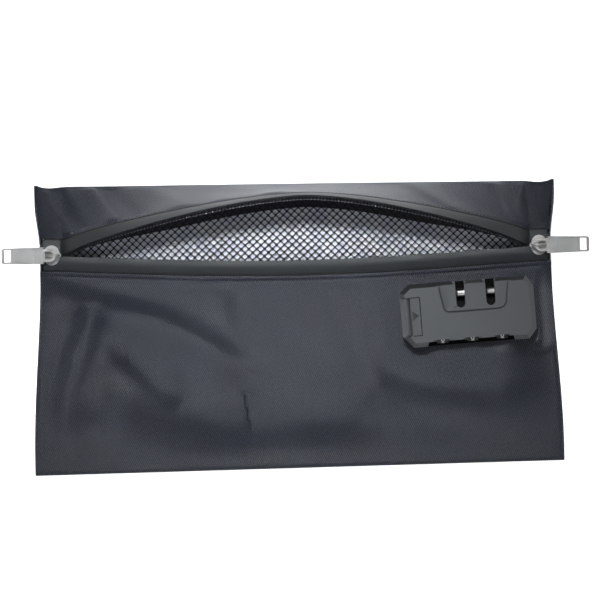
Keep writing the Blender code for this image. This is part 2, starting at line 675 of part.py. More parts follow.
def make_latch(frame):
    button = place("slide_button", box_mesh("slide_button", *BUTTON), "case_plastic", frame)
    profile = [(GRIP_U - GRIP_R, GRIP_Z)]
    profile += [(x, GRIP_Z + z) for x, z in arc(GRIP_U, 0, GRIP_R, 180, 0, 8)]
    profile += [(GRIP_U + GRIP_R, GRIP_Z)]
    grip = plate_mesh("button_grip", profile, -BUTTON[1][1] + 0.2 * MM, -BUTTON[0][1] - 0.2 * MM)
    grip.transform(Matrix.Rotation(math.pi / 2, 4, "X"))
    boolean(button, grip, "UNION")
    boolean(button, box_mesh("button_stem", *STEM), "UNION")
    plate = plate_mesh("hook_plate", [(x * MM, y * MM) for x, y in HOOK_OUTLINE], *HOOK_Z)
    hooks = place("hook_plate", plate, "steel", frame)
    half_v, half_z = PEG_HALF
    for number, u in enumerate(SLOT_U, 1):
        edge = u + SLOT_W / 2 + PEG_POST
        low, high = (edge, PEG_V - half_v, 2.0 * MM), (edge + PEG_POST, PEG_V + half_v, PEG_Z + half_z)
        boolean(hooks, box_mesh(f"post_{number}", low, high), "UNION")
        low = (u - 1.9 * MM, PEG_V - half_v, PEG_Z - half_z)
        high = (edge + 0.4 * MM, PEG_V + half_v, PEG_Z + half_z)
        boolean(hooks, box_mesh(f"peg_{number}", low, high), "UNION")
    boolean(hooks, box_mesh("spring_tab", *SPRING_TAB), "UNION")
    count = SPRING_TURNS * SPRING_STEPS
    helix = []
    for i in range(count + 1):
        turn = math.tau * i / SPRING_STEPS
        v, z = SPRING_V + SPRING_R * math.cos(turn), SPRING_Z + SPRING_R * math.sin(turn)
        helix.append((SPRING_START + SPRING_LENGTH * i / count, v, z))
    place("return_spring", tube_curve("return_spring", helix, SPRING_WIRE, 1), "steel", frame)


make_front_panel()
make_back_panel()
make_side_binding("side_binding_left", -1)
make_side_binding("side_binding_right", 1)
make_flat_sheet("back_lining", "lining", 1.3 * MM, 2.4 * MM, -72 * MM, 67 * MM)
make_flat_sheet("mesh_pocket", "net", 1.9 * MM, 4 * MM, -60 * MM, 60 * MM)
make_front_lining()
make_zipper()
for end, direction in (("left", -1), ("right", 1)):
    make_slider(f"slider_{end}", direction)
    make_pull(f"pull_{end}", direction)
LOCK = lock_frame()
make_case(LOCK)
make_plates(LOCK)
make_dials(LOCK)
make_latch(LOCK)
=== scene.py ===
"""Looks for the cash deposit bag: cloth, zipper, net, lock finishes, floor, lamps and camera."""
import json
import math

import bpy
import numpy as np
from mathutils import Matrix, Vector, noise


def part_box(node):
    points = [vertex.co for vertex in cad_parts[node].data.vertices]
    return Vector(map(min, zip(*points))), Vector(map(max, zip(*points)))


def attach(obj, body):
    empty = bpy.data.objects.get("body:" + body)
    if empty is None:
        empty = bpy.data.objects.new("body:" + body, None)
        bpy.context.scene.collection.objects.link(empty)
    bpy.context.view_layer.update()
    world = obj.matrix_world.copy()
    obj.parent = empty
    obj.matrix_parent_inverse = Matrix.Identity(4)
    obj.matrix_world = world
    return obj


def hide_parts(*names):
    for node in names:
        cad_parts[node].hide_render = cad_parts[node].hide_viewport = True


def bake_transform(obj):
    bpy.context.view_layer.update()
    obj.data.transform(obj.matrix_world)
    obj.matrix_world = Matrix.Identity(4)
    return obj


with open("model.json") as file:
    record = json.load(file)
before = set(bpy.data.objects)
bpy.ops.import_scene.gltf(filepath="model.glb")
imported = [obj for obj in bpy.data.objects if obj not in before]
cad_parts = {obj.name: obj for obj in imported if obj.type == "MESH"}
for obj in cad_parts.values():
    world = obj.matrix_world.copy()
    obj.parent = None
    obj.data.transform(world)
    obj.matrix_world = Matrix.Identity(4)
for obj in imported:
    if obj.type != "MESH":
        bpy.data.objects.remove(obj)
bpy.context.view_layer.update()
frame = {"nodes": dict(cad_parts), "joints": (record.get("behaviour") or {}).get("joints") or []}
MM = 0.001

# ---------- the bag's own measures, taken from the frame where it has them ----------

PANEL_HIGH = Vector(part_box("front_panel")[1])
TAPE_LOW, TAPE_HIGH = (Vector(c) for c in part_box("zip_tape_lower"))
JOINT = {joint["name"]: joint for joint in frame["joints"]}
FLAP_JOINT = JOINT["flap_close"]
LATCH_AXIS = Vector(JOINT["release_button"]["axis"])

FOLD_Y = FLAP_JOINT["pos_m"][1]
FOLD_TAPER = -FLAP_JOINT["axis"][1] / FLAP_JOINT["axis"][0]
HINGE_Z = FLAP_JOINT["pos_m"][2]
ZIP_END = TAPE_HIGH.x
ZIP_Z = (TAPE_LOW.z + TAPE_HIGH.z) / 2
TAPE_T = TAPE_HIGH.z - TAPE_LOW.z
PLATEAU_Z = PANEL_HIGH.z
WAIST = 135.3 * MM
BOTTOM_FLARE = 4.9 * MM
TOP_FLARE = 2.4 * MM
EDGE_Z = 2.6 * MM
SEAM_Z = 9.3 * MM
SIDE_SLOPE = 34 * MM
BOTTOM_SLOPE = 45 * MM
PAD_SLOPE = 9 * MM
ZIP_Y = 40.3 * MM
ZIP_SAG = 5.1 * MM
TAPE_W = 7.8 * MM
LIP_GAP = 0.4 * MM
PANEL_T = 0.6 * MM
FLAP_OPEN = math.radians(69.6)
FLAP_PEAK_X = 6 * MM
FLAP_END_X = 124 * MM
FLAP_EASE = 4 * MM
LOCK_TURN = math.atan2(LATCH_AXIS.y, LATCH_AXIS.x)
LIP_INSET = 0.6 * MM
COIL_PITCH = 1.8 * MM
STITCH_PITCH = 2.1 * MM
LOCK_PLACE = Vector((90.6 * MM, 5.6 * MM, PLATEAU_Z + 0.3 * MM))
LOCK_HALF = (35.4 * MM, 16.75 * MM)
DIAL_R = 4.6 * MM


def smooth(t):
    t = np.clip(t, 0, 1)
    return t * t * (3 - 2 * t)


def half_width(y):
    low = BOTTOM_FLARE * smooth((36 * MM - y) / (104 * MM))
    return WAIST + low + TOP_FLARE * smooth((y - 42 * MM) / (26 * MM))


def top_y(x):
    return FOLD_Y - FOLD_TAPER * x


def bottom_y(x):
    return -FOLD_Y + FOLD_TAPER * x


def lip_y(x):
    return ZIP_Y - ZIP_SAG * np.maximum(0, np.cos(0.5 * np.pi * x / ZIP_END)) ** 1.15


def edge_z(y):
    return EDGE_Z + (SEAM_Z - EDGE_Z) * smooth((24 * MM - abs(y - 40 * MM)) / (18 * MM))


def lock_local(x, y):
    dx, dy = x - LOCK_PLACE.x, y - LOCK_PLACE.y
    c, s = math.cos(LOCK_TURN), math.sin(LOCK_TURN)
    return dx * c + dy * s, dy * c - dx * s


def panel_z(x, y):
    edge = edge_z(y)
    across = smooth((half_width(y) - abs(x)) / SIDE_SLOPE)
    along = np.maximum(smooth((y - bottom_y(x)) / BOTTOM_SLOPE), smooth((y - 10 * MM) / (15 * MM)))
    z = edge + (PLATEAU_Z - edge) * across * along
    pad = smooth(1 - lock_distance(x, y) / PAD_SLOPE)
    return z + (PLATEAU_Z - z) * pad


def lock_distance(x, y):
    """How far a place on the panel is outside the lock's footprint."""
    u, v = lock_local(x, y)
    return np.hypot(np.maximum(0, abs(u) - LOCK_HALF[0] - MM), np.maximum(0, abs(v) - LOCK_HALF[1] - MM))


def flap_reach(x):
    return np.hypot(top_y(x) - lip_y(x), ZIP_Z - HINGE_Z)


def lip_reach(x):
    """How far from the top fold the flap's tape ends."""
    return flap_reach(x) - LIP_INSET


def opening(x):
    """The share of the full swing that each place along the flap makes: none at the sliders."""
    span = np.where(x > FLAP_PEAK_X, FLAP_END_X - FLAP_PEAK_X, FLAP_END_X + FLAP_PEAK_X)
    run = np.minimum(abs(x - FLAP_PEAK_X) / span, 1)
    return (1 - run**1.6) ** 0.6 * (1 - np.exp((run - 1) * span / FLAP_EASE))


def flap_surface(x, reach):
    angle = np.arctan2(ZIP_Z - HINGE_Z, top_y(x) - lip_y(x)) + FLAP_OPEN * opening(x)
    return np.stack([x, top_y(x) - reach * np.cos(angle), HINGE_Z + reach * np.sin(angle)], -1)


def flap_point(x, reach, inward=0.0):
    """Points of the flap at a reach from the top fold, moved inward from its mid surface."""
    x, reach = np.broadcast_arrays(np.asarray(x, float), np.asarray(reach, float))
    step = 0.2 * MM
    across = flap_surface(x + step, reach) - flap_surface(x - step, reach)
    along = flap_surface(x, reach) - flap_surface(x, reach - step)
    normal = np.cross(across, along)
    normal /= np.linalg.norm(normal, axis=-1, keepdims=True)
    return flap_surface(x, reach) + normal * np.asarray(inward)[..., None]


# ---------- making meshes ----------


def deselect():
    for obj in bpy.context.selected_objects:
        obj.select_set(False)


def keep_active(name):
    obj = bpy.context.active_object
    obj.name = obj.data.name = name
    return obj


def apply_place(obj):
    """Leave the object at the origin with its place in its mesh."""
    obj.data.transform(obj.matrix_world)
    obj.matrix_world = Matrix.Identity(4)
    return obj


def apply_modifier(obj, kind, **settings):
    deselect()
    bpy.context.view_layer.objects.active = obj
    obj.select_set(True)
    modifier = obj.modifiers.new(kind.lower(), kind)
    for key, value in settings.items():
        setattr(modifier, key, value)
    bpy.ops.object.modifier_apply(modifier=modifier.name)
    return obj


def read_points(obj):
    points = np.empty(len(obj.data.vertices) * 3)
    obj.data.vertices.foreach_get("co", points)
    return points.reshape(-1, 3)


def write_points(obj, points):
    obj.data.vertices.foreach_set("co", np.asarray(points, np.float32).ravel())
    obj.data.update()


def cloth(name, columns, rows, shape, flat, thickness, offset=-1.0):
    """A sheet: its grid's corner (u, v) goes to shape(u, v), and its UV map is the flat cloth in metres."""
    deselect()
    bpy.ops.mesh.primitive_grid_add(x_subdivisions=columns, y_subdivisions=rows, size=1, calc_uvs=True)
    obj = keep_active(name)
    grid = read_points(obj) + 0.5
    write_points(obj, shape(grid[:, 0], grid[:, 1]))
    uv = obj.data.uv_layers.active.data
    loops = np.empty(len(obj.data.loops), np.int32)
    obj.data.loops.foreach_get("vertex_index", loops)
    uv.foreach_set("uv", (grid[loops, :2] * np.array(flat)).astype(np.float32).ravel())
    apply_modifier(obj, "SOLIDIFY", thickness=thickness, offset=offset, use_even_offset=True)
    deselect()
    obj.select_set(True)
    bpy.context.view_layer.objects.active = obj
    bpy.ops.object.shade_smooth_by_angle(angle=math.radians(50))
    return obj


def repeat(name, unit, places):
    """A copy of a small piece at each placement, all joined into one piece."""
    deselect()
    for place in places:
        copy = unit.copy()
        copy.data = unit.data.copy()
        copy.data.transform(place)
        bpy.context.scene.collection.objects.link(copy)
        copy.select_set(True)
        bpy.context.view_layer.objects.active = copy
    bpy.ops.object.join()
    bpy.data.objects.remove(unit)
    obj = keep_active(name)
    obj.data.shade_smooth()
    return obj


def slab(name, outline, low, high):
    """A flat outline in mm, extruded from z low to z high."""
    deselect()
    bpy.ops.mesh.primitive_circle_add(vertices=len(outline), radius=1, fill_type="NGON")
    obj = keep_active(name)
    write_points(obj, [(x * MM, y * MM, low * MM) for x, y in outline])
    bpy.ops.object.mode_set(mode="EDIT")
    bpy.ops.mesh.select_all(action="SELECT")
    bpy.ops.mesh.extrude_region_move(TRANSFORM_OT_translate={"value": (0, 0, (high - low) * MM)})
    bpy.ops.mesh.select_all(action="SELECT")
    bpy.ops.mesh.normals_make_consistent(inside=False)
    bpy.ops.object.mode_set(mode="OBJECT")
    return obj


def block(name, low, high):
    """A rectangular slab between two corners in mm."""
    (x0, y0, z0), (x1, y1, z1) = low, high
    return slab(name, [(x0, y0), (x1, y0), (x1, y1), (x0, y1)], z0, z1)


def rod(name, start, end, radius, sides=32):
    """A round bar between two places in mm."""
    start, end = Vector(start) * MM, Vector(end) * MM
    deselect()
    bpy.ops.mesh.primitive_cylinder_add(vertices=sides, radius=radius * MM, depth=(end - start).length)
    obj = keep_active(name)
    turn = (end - start).to_track_quat("Z", "Y").to_matrix().to_4x4()
    obj.data.transform(Matrix.Translation((start + end) / 2) @ turn)
    return obj


def chamfer_top(obj, height, width, segments=1):
    """Bevel the rim at a height, in mm."""
    deselect()
    bpy.context.view_layer.objects.active = obj
    obj.select_set(True)
    for vert in obj.data.vertices:
        vert.select = vert.co.z > (height - 0.01) * MM
    for edge in obj.data.edges:
        edge.select = all(obj.data.vertices[i].select for i in edge.vertices)
    for face in obj.data.polygons:
        face.select = all(obj.data.vertices[i].select for i in face.vertices)
    bpy.ops.object.mode_set(mode="EDIT")
    bpy.ops.mesh.bevel(offset=width * MM, segments=segments, profile=0.5, affect="EDGES")
    bpy.ops.object.mode_set(mode="OBJECT")
    return obj


def combine(obj, other, operation="DIFFERENCE"):
    """Cut other out of obj, or join it on, and remove other."""
    apply_modifier(obj, "BOOLEAN", object=other, operation=operation, solver="EXACT")
    bpy.data.objects.remove(other)
    return obj


def soften(obj, width, segments=3, angle=32):
    """Round every sharp edge, width in mm."""
    apply_modifier(
        obj, "BEVEL", width=width * MM, segments=segments, limit_method="ANGLE",
        angle_limit=math.radians(angle), harden_normals=False, use_clamp_overlap=True)
    deselect()
    obj.select_set(True)
    bpy.context.view_layer.objects.active = obj
    bpy.ops.object.shade_smooth_by_angle(angle=math.radians(30))
    return apply_modifier(obj, "WEIGHTED_NORMAL", keep_sharp=True)


def ellipse(rx, ry, cx=0.0, cy=0.0, start=0, end=360, steps=36):
    turns = [math.radians(start + (end - start) * i / steps) for i in range(steps + (abs(end - start) < 360))]
    return [(cx + rx * math.cos(a), cy + ry * math.sin(a)) for a in turns]


def frame_along(position, forward, up):
    """A placement whose X runs forward and whose Z is close to up."""
    x = Vector(forward).normalized()
    y = Vector(up).cross(x).normalized()
    z = x.cross(y)
    return Matrix.Translation(position) @ Matrix((x, y, z)).transposed().to_4x4()


def tube(name, paths, radius, sides=6):
    """Round threads along the paths, as one mesh."""
    curve = bpy.data.curves.new(name, "CURVE")
    curve.dimensions = "3D"
    curve.bevel_depth = radius
    curve.bevel_resolution = max(0, sides // 2 - 2)
    curve.use_fill_caps = True
    for path in paths:
        spline = curve.splines.new("POLY")
        spline.points.add(len(path) - 1)
        spline.points.foreach_set("co", np.c_[np.asarray(path), np.ones(len(path))].ravel())
    obj = bpy.data.objects.new(name, curve)
    bpy.context.scene.collection.objects.link(obj)
    deselect()
    obj.select_set(True)
    bpy.context.view_layer.objects.active = obj
    bpy.ops.object.convert(target="MESH")
    obj = keep_active(name)
    bpy.ops.object.mode_set(mode="EDIT")
    bpy.ops.mesh.select_all(action="SELECT")
    bpy.ops.mesh.remove_doubles(threshold=1e-6)
    bpy.ops.mesh.normals_make_consistent(inside=False)
    bpy.ops.object.mode_set(mode="OBJECT")
    obj.data.shade_smooth()
    return obj


# ---------- shader arithmetic ----------


class Wire:
    """A shader socket that ordinary arithmetic works on."""

    def __init__(self, finish, socket):
        self.finish, self.socket = finish, socket

    def maths(self, operation, *values):
        return self.finish.node("ShaderNodeMath", {"operation": operation}, *values)

    def __add__(self, other):
        return self.maths("ADD", self, other)

    def __sub__(self, other):
        return self.maths("SUBTRACT", self, other)

    def __mul__(self, other):
        return self.maths("MULTIPLY", self, other)

    __radd__ = __add__
    __rmul__ = __mul__

    def sine(self):
        return self.maths("SINE", self)

    def clamp(self):
        return self.maths("MAXIMUM", self.maths("MINIMUM", self, 1.0), 0.0)


class Finish:
    """A material and its node tree."""

    def __init__(self, name, colour, roughness, metallic=0.0, **fixed):
        self.material = bpy.data.materials.new(name)
        self.material.use_nodes = True
        self.tree = self.material.node_tree
        self.shader = self.tree.nodes["Principled BSDF"]
        self.shader.inputs["Base Color"].default_value = (*colour, 1)
        self.shader.inputs["Roughness"].default_value = roughness
        self.shader.inputs["Metallic"].default_value = metallic
        for key, value in fixed.items():
            self.shader.inputs[key.replace("_", " ")].default_value = value

    def node(self, kind, settings, *values, out=0, **named):
        """One node of any kind: its settings first, then its sockets by order or by name."""
        made = self.tree.nodes.new(kind)
        for key, value in settings.items():
            setattr(made, key, value)
        sockets = list(zip(made.inputs, values))
        sockets += [(made.inputs[key.replace("_", " ")], value) for key, value in named.items()]
        for socket, value in sockets:
            if isinstance(value, Wire):
                self.tree.links.new(value.socket, socket)
            elif value is not None:
                socket.default_value = value
        return Wire(self, made.outputs[out])

    def object_place(self):
        return self.node("ShaderNodeTexCoord", {}, out=3)

    def flat_place(self):
        return self.node("ShaderNodeTexCoord", {}, out=2)

    def noise(self, place, scale, detail=2.0, stretch=(1, 1, 1)):
        if stretch != (1, 1, 1):
            place = self.node("ShaderNodeMapping", {}, Vector=place, Scale=stretch)
        return self.node("ShaderNodeTexNoise", {}, Vector=place, Scale=scale, Detail=detail)

    def split(self, place):
        """The X, Y and Z of a place."""
        first = self.node("ShaderNodeSeparateXYZ", {}, place)
        return first, Wire(self, first.socket.node.outputs[1]), Wire(self, first.socket.node.outputs[2])

    def two_colours(self, factor, dark, light):
        mix = self.node("ShaderNodeMix", {"data_type": "RGBA"}, Factor=factor, out=2)
        mix.socket.node.inputs[6].default_value = (*dark, 1)
        mix.socket.node.inputs[7].default_value = (*light, 1)
        return mix

    def feed(self, socket, value):
        self.tree.links.new(value.socket, self.shader.inputs[socket])

    def bump(self, height, distance, strength=1.0):
        made = self.node("ShaderNodeBump", {}, Strength=strength, Distance=distance, Height=height)
        self.feed("Normal", made)


def weave(finish, pitch, along=(1.0, 1.0)):
    """Height of a fine twill: small lozenges, each row set over from the last."""
    x, y, _ = finish.split(finish.flat_place())
    turn = math.tau / pitch
    rising = ((x + y * 0.5) * turn * along[0]).sine()
    across = ((y - x * 0.12) * turn * along[1]).sine()
    return rising * across


def nylon_finish():
    made = Finish("charcoal_nylon", (0.02, 0.02, 0.02), 0.45, Sheen_Weight=0.06, Sheen_Roughness=0.4,
                  Specular_IOR_Level=0.45, Sheen_Tint=(0.7, 0.8, 1.0, 1.0))
    threads = weave(made, 1.2 * MM)
    slub = made.noise(made.flat_place(), 1300, 2)
    broad = made.noise(made.flat_place(), 26, 4)
    tone = (threads * 1.2 + 0.2 + (slub - 0.5) * 3.2 + (broad - 0.5) * 0.8).clamp()
    made.feed("Base Color", made.two_colours(tone, (0.001, 0.0012, 0.0018), (0.050, 0.057, 0.085)))
    made.feed("Roughness", (slub * 0.16 + broad * 0.3 + 0.16).clamp())
    made.bump(threads * 0.6 + slub * 0.7, 0.14 * MM, 0.9)
    return made.material


def lining_finish():
    made = Finish("pale_lining", (0.8, 0.8, 0.9), 0.4, Specular_IOR_Level=0.5)
    cloud = made.noise(made.object_place(), 130, 4)
    fine = made.noise(made.object_place(), 900, 2)
    tone = ((cloud - 0.5) * 1.6 + (fine - 0.5) * 0.6 + 0.55).clamp()
    made.feed("Base Color", made.two_colours(tone, (0.60, 0.63, 0.80), (0.97, 0.97, 1.0)))
    made.feed("Roughness", cloud * 0.3 + 0.25)
    made.bump(fine + cloud * 2.0, 0.25 * MM, 0.6)
    return made.material


def thread_finish(name, level, roughness=0.65):
    made = Finish(name, (level, level, level * 1.08), roughness)
    fibre = made.noise(made.object_place(), 2500, 2)
    light = (level * 1.5, level * 1.5, level * 1.65)
    made.feed("Base Color", made.two_colours(fibre, (level * 0.6,) * 3, light))
    made.bump(fibre, 0.05 * MM, 0.5)
    return made.material


def tape_finish():
    made = Finish("coated_tape", (0.02, 0.023, 0.026), 0.42, Specular_IOR_Level=0.28)
    grain = made.noise(made.object_place(), 1600, 3)
    rub = made.noise(made.object_place(), 45, 3)
    tone = ((grain - 0.5) * 0.5 + (rub - 0.5) * 0.8 + 0.5).clamp()
    made.feed("Base Color", made.two_colours(tone, (0.011, 0.0128, 0.0145), (0.024, 0.027, 0.030)))
    made.feed("Roughness", (rub * 0.25 + 0.33).clamp())
    made.bump(grain, 0.03 * MM, 0.5)
    return made.material


def nickel_finish(name, dull, bright):
    made = Finish(name, dull, 0.24, 1.0)
    brushed = made.noise(made.object_place(), 700, 3, (0.2, 3, 3))
    wear = made.noise(made.object_place(), 160, 3)
    made.feed("Base Color", made.two_colours(wear, dull, bright))
    made.feed("Roughness", (brushed * 0.15 + wear * 0.25 + 0.22).clamp())
    made.bump(brushed, 0.02 * MM, 0.35)
    return made.material


def lock_finish(name, level, roughness=0.5, specular=0.5):
    """Moulded plastic with a fine spark-eroded grain."""
    made = Finish(name, (level, level * 1.04, level * 1.12), roughness, Specular_IOR_Level=specular)
    grain = made.noise(made.object_place(), 2600, 2)
    handling = made.noise(made.object_place(), 70, 3)
    tone = ((grain - 0.5) * 0.5 + (handling - 0.5) * 0.5 + 0.5).clamp()
    dark = (level * 0.8, level * 0.83, level * 0.88)
    light = (level * 1.22, level * 1.28, level * 1.38)
    made.feed("Base Color", made.two_colours(tone, dark, light))
    made.feed("Roughness", (handling * 0.2 + roughness - 0.1).clamp())
    made.bump(grain, 0.05 * MM, 0.6)
    return made.material


def steel_finish():
    made = Finish("plated_steel", (0.6, 0.6, 0.6), 0.3, 1.0)
    brushed = made.noise(made.object_place(), 900, 2, (0.3, 2, 2))
    made.feed("Base Color", made.two_colours(brushed, (0.5, 0.49, 0.47), (0.72, 0.71, 0.68)))
    made.feed("Roughness", (brushed * 0.2 + 0.2).clamp())
    made.bump(brushed, 0.02 * MM, 0.4)
    return made.material


def numeral_finish():
    made = Finish("numeral_white", (0.75, 0.75, 0.75), 0.5)
    print_wear = made.noise(made.object_place(), 3000, 2)
    made.feed("Base Color", made.two_colours(print_wear, (0.62, 0.62, 0.62), (0.85, 0.85, 0.85)))
    return made.material


NYLON = nylon_finish()
LINING = lining_finish()
NET = thread_finish("net_thread", 0.007)
STITCH = thread_finish("stitch_thread", 0.03)
# painted shade: near-black thread for the cords in the seam gaps
SEAM_SHADE = thread_finish("seam_thread", 0.003, 0.8)
# partly painted highlight: the coil's sewing thread, made light grey to stand in for the glints along the
# coil
SEWING_GLINT = thread_finish("coil_sewing_thread", 0.55, 0.4)
COIL = thread_finish("zip_coil", 0.008, 0.3)
TAPE = tape_finish()
NICKEL = nickel_finish("satin_nickel", (0.52, 0.505, 0.485), (0.76, 0.745, 0.72))
# painted shade: a darker copy of the nickel for the slider's disc
NICKEL_SHADE = nickel_finish("worn_nickel", (0.24, 0.235, 0.225), (0.46, 0.45, 0.435))
LOCK_CASE = lock_finish("lock_plastic", 0.058)
# painted shade: a darker copy of the lock plastic, for the chamfer that faces +Y and the arrow notch's floor
LOCK_SHADE_PLASTIC = lock_finish("lock_land_plastic", 0.016, 0.6)
DIAL = lock_finish("dial_plastic", 0.012, 0.42)
STEEL = steel_finish()
# painted shade: near-black steel for inner parts seen through the slots and gaps
STEEL_SHADE = lock_finish("blackened_steel", 0.005, 0.6, 0.12)
# painted shade: near-black for the insides of the slots, the floors under the dial windows and the base plate
SLOT_SHADE = lock_finish("slot_black", 0.003, 0.7, 0.06)
NUMERAL = numeral_finish()


def paint(obj, material):
    if obj.material_slots:
        for slot in obj.material_slots:
            slot.material = material
    else:
        obj.data.materials.append(material)


def own(obj, material, body="bag", replaces=()):
    """Finish a new piece and let it ride on its body."""
    paint(obj, material)
    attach(obj, body)
    if replaces:
        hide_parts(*replaces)
    return obj


def own_flap(obj, material, replaces=()):
    """Finish a piece of the flap; each point's share of the opening is worked out, but nothing uses it."""
    paint(obj, material)
    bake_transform(obj)
    share = opening(read_points(obj)[:, 0]).astype(np.float32)
    if replaces:
        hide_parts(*replaces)
    return obj


# ---------- the cloth ----------

FRONT_FOLDS = [  # a line in mm, the fold's height, and how far it spreads to the line's left and right
    ([(-117, -78), (-110, -40), (-100, 2)], -2.3, 9, 11),
    ([(-133, -73), (-125, -34), (-109, 6)], 1.2, 7, 6),
    ([(-108, 4), (-94, -10), (-80, -22), (-68, -32)], 1.5, 7, 7),
    ([(-90, -26), (-91, -50), (-88, -77)], -1.2, 8, 14),
    ([(-127, 17), (-102, 12), (-76, 5), (-54, -6), (-32, -19)], -1.9, 7, 10),
    ([(-120, 26), (-84, 18), (-50, 14)], 0.7, 7, 7),
    ([(-43, 28), (-39, 8), (-33, -12), (-30, -30)], 1.4, 6, 30),
    ([(33, 22), (40, -2), (48, -20), (60, -46), (78, -62)], 1.1, 15, 8),
    ([(24, 12), (36, -20), (48, -46)], -0.8, 12, 9),
    ([(50, -36), (84, -48), (120, -52)], -1.1, 12, 14),
    ([(46, -24), (76, -32), (112, -32)], 0.6, 10, 8),
    ([(-62, -66), (-20, -57), (30, -63)], 0.6, 11, 9),
    ([(-14, -6), (4, -26), (8, -52)], 0.7, 18, 12),
    ([(-70, -40), (-50, -48), (-30, -68)], 0.6, 10, 10),
]
FOLD_GAIN = 1.4
STRIP_FOLDS = [  # x in mm, and mm from the lip towards the fold
    ([(-132, 25), (-127, 14), (-119, 2)], 1.5, 2.2, 3.5),
    ([(-125, 26), (-120, 15), (-113, 3)], -1.2, 3, 3),
    ([(-109, 26), (-103, 16), (-96, 3)], 1.4, 2.4, 4.5),
    ([(-98, 26), (-92, 16), (-84, 4)], -1.1, 4, 5),
    ([(-80, 26), (-66, 14), (-58, 2)], 0.6, 6, 6),
    ([(104, 26), (110, 16), (118, 3)], 1.2, 5, 3),
    ([(120, 26), (119, 13), (123, 2)], 1.3, 2.5, 3),
    ([(128, 26), (128, 13), (131, 4)], -1.0, 2.5, 2.5),
    ([(60, 26), (70, 13), (84, 2)], 0.9, 7, 4),
    ([(-40, 26), (-20, 13), (-10, 2)], 0.5, 8, 8),
]


def fold_height(x, y, folds):
    """Sum of folds along listed lines, steeper on one side than the other. All in mm."""
    total = np.zeros_like(x)
    for line, height, left, right in folds:
        nearest, side = np.full_like(x, 1e9), np.ones_like(x)
        for (ax, ay), (bx, by) in zip(line, line[1:]):
            dx, dy = bx - ax, by - ay
            t = np.clip(((x - ax) * dx + (y - ay) * dy) / (dx * dx + dy * dy), 0, 1)
            gap = (x - ax - t * dx) ** 2 + (y - ay - t * dy) ** 2
            side = np.where(gap < nearest, dx * (y - ay) - dy * (x - ax), side)
            nearest = np.minimum(nearest, gap)
        width = np.where(side > 0, left, right)
        total += height * np.exp(-nearest / (width * width))
    return total


def ear(x):
    """The corners of the top fold stand up a little, with a dip beside each."""
    out = abs(x) - 137.4 * MM
    tip = 1.1 * MM * np.exp(-((out / (2.2 * MM)) ** 2))
    dip = 0.7 * MM * np.exp(-(((out + 8 * MM) / (5 * MM)) ** 2))
    return tip - dip


def crumple(x, y, scale, seed):
    """Soft irregular waves, the same each run."""
    return np.array([noise.noise((a * scale, b * scale, seed)) for a, b in zip(x, y)])


def front_waves(x, y, z):
    """Heights of the front's folds in mm, smaller where the bag is thin."""
    waves = FOLD_GAIN * fold_height(x / MM, y / MM, FRONT_FOLDS)
    waves = waves + 0.9 * crumple(x / MM, y / MM, 0.03, 3.1) + 0.3 * crumple(x / MM, y / MM, 0.09, 7.7)
    return waves * smooth((z - 2.2 * MM) / (5 * MM))


def make_front():
    def shape(u, v):
        s = 2 * u - 1
        y_low = bottom_y(s * half_width(-FOLD_Y))
        y_high = lip_y(s * half_width(32 * MM)) - TAPE_W - 0.75 * MM
        y = y_low + (y_high - y_low) * v
        x = s * half_width(y)
        z = panel_z(x, y)
        from_edge = np.minimum(half_width(y) - abs(x), y - bottom_y(x))
        loose = smooth(from_edge / (10 * MM)) * smooth(lock_distance(x, y) / (14 * MM))
        loose = loose * smooth((y_high - y) / (8 * MM))
        waves = front_waves(x, y, z)
        rolled = np.clip(1 - from_edge / (2.2 * MM), 0, 1) ** 2 * smooth((3.4 * MM - edge_z(y)) / (0.6 * MM))
        hem = np.exp(-(((y_high - y - 0.9 * MM) / (0.8 * MM)) ** 2)) * 0.5 * MM
        seam = np.exp(-(((y_high - y - 2.6 * MM) / (0.6 * MM)) ** 2)) * -0.45 * MM
        z = z + waves * loose * MM - 1.1 * MM * rolled + hem + seam
        return np.stack([x, y, z], -1)

    flat = (0.281, 0.112)
    front = cloth("front_cloth", 240, 170, shape, flat, PANEL_T)
    own(front, NYLON, replaces=["front_panel"])


def make_back():
    def shape(u, v):
        s = 2 * u - 1
        y_low, y_high = bottom_y(s * WAIST), top_y(s * WAIST)
        y = y_low + (y_high - y_low) * v
        x = s * half_width(y)
        y = y + ear(x) * smooth((v - 0.9) / 0.1)
        lift = 0.35 * MM * np.clip(1 - (half_width(y) - abs(x)) / (2 * MM), 0, 1) ** 2
        return np.stack([x, y, 0.7 * MM + lift], -1)

    flat = (0.281, 0.151)
    back = cloth("back_cloth", 120, 60, shape, flat, 0.6 * MM)
    own(back, NYLON, replaces=["back_panel"])


def make_gusset(side, name):
    """The wall of cloth at each side, from the back up to the front and to the flap's shut ends."""

    def shape(u, v):
        y = (-73 + 146 * v) * MM
        low = 0.7 * MM
        front = edge_z(y) - 0.5 * MM
        flap = HINGE_Z + (top_y(0) - y) * 0.215
        top = np.maximum(np.where(y < 40 * MM, front, flap), low + 0.3 * MM)
        across = u if side < 0 else 1 - u
        bulge = np.sin(np.pi * across) * 0.5 * MM * smooth((top - 3 * MM) / (4 * MM))
        x = side * (half_width(y) - 0.75 * MM + bulge)
        return np.stack([x, y, low + (top - low) * across], -1)

    wall = cloth(f"gusset_{name}", 8, 90, shape, (0.008, 0.146), 0.6 * MM, offset=0)
    own(wall, NYLON, replaces=[f"side_binding_{name}"])


